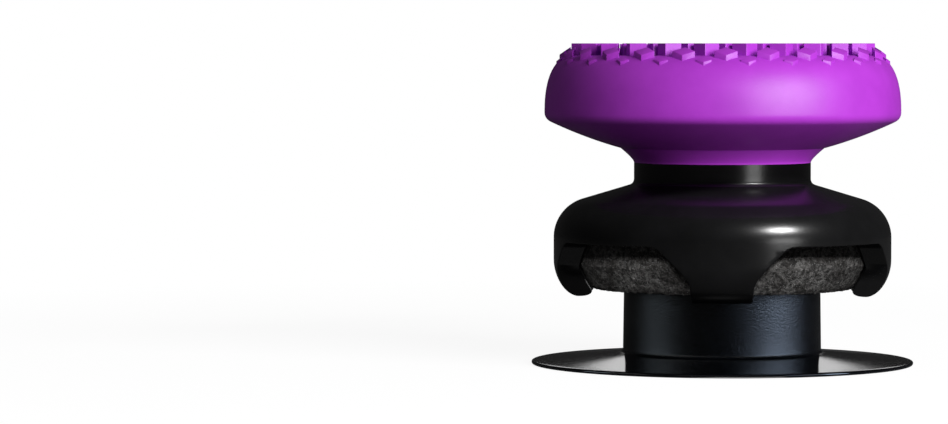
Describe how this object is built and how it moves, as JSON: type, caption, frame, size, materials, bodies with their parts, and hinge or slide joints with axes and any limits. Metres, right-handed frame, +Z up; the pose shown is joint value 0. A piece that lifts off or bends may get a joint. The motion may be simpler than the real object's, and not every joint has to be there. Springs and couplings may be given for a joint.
{
  "type": "controller thumb grip",
  "caption": "Tall thumb grip with a treaded, dished cap and a waisted clip body whose prongs hook under the cap of the thumbstick it is fitted on.",
  "frame": {"origin": "on the axis, at the bottom of the thumbstick's skirt", "axes": "+Z up along the axis towards the treaded cap, -Y to the front, where one of the four prongs is, +X to the right"},
  "size_m": [0.0228, 0.0228, 0.0192],
  "materials": {
    "grip_cap": "satin soft-touch rubber, purple",
    "clip_body": "satin to gloss moulded plastic, black",
    "thumbstick_rubber": "coarse textured matte rubber, dark grey",
    "thumbstick_core": "satin moulded plastic, near black"
  },
  "bodies": {
    "root": {"grip_cap": "grip_cap", "clip_body": "clip_body", "thumbstick_rubber": "thumbstick_rubber", "thumbstick_core": "thumbstick_core"}
  },
  "joints": []
}
